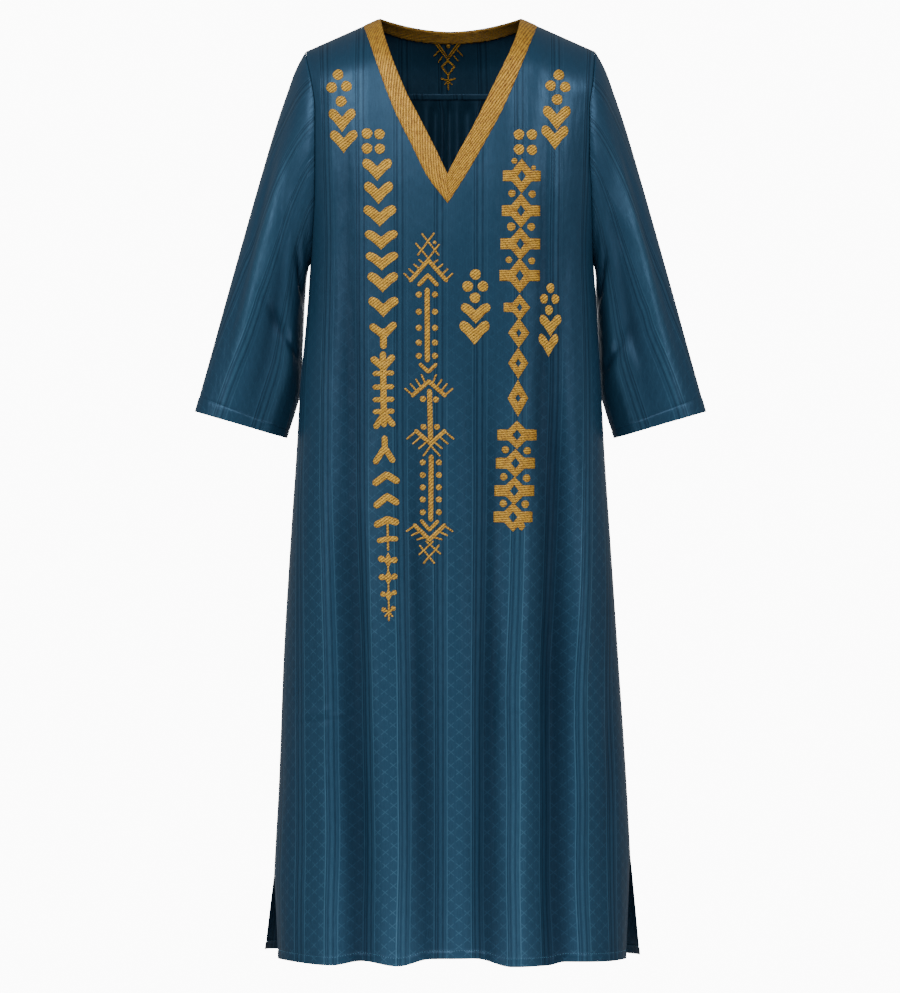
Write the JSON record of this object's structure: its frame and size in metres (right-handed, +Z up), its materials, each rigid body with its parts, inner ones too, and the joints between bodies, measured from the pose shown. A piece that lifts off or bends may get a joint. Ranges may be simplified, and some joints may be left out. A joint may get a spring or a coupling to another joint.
{
  "type": "caftan",
  "caption": "Ankle-length caftan filled out as worn: V neck with a gold band, set-in three-quarter sleeves, gathered back under a yoke, side slits, gold motifs down the front",
  "frame": {"origin": "midway between the two shoulder tips, at their height, in the plane of the side seams: the shoulders hold the garment up there", "axes": "+Z up, -Y to the front of the garment, +X to the right as seen from the front"},
  "size_m": [0.741, 0.3155, 1.3718],
  "materials": {
    "satin": "teal-blue figured satin, woven in stripes",
    "gold_band": "dense gold thread embroidery"
  },
  "bodies": {
    "root": {"front": "satin", "back_yoke": "satin", "back": "satin", "sleeve_left": "satin", "sleeve_right": "satin", "neckband_left": "gold_band", "neckband_right": "gold_band", "neckband_back": "gold_band", "neckband_back_inside": "gold_band"}
  },
  "joints": []
}
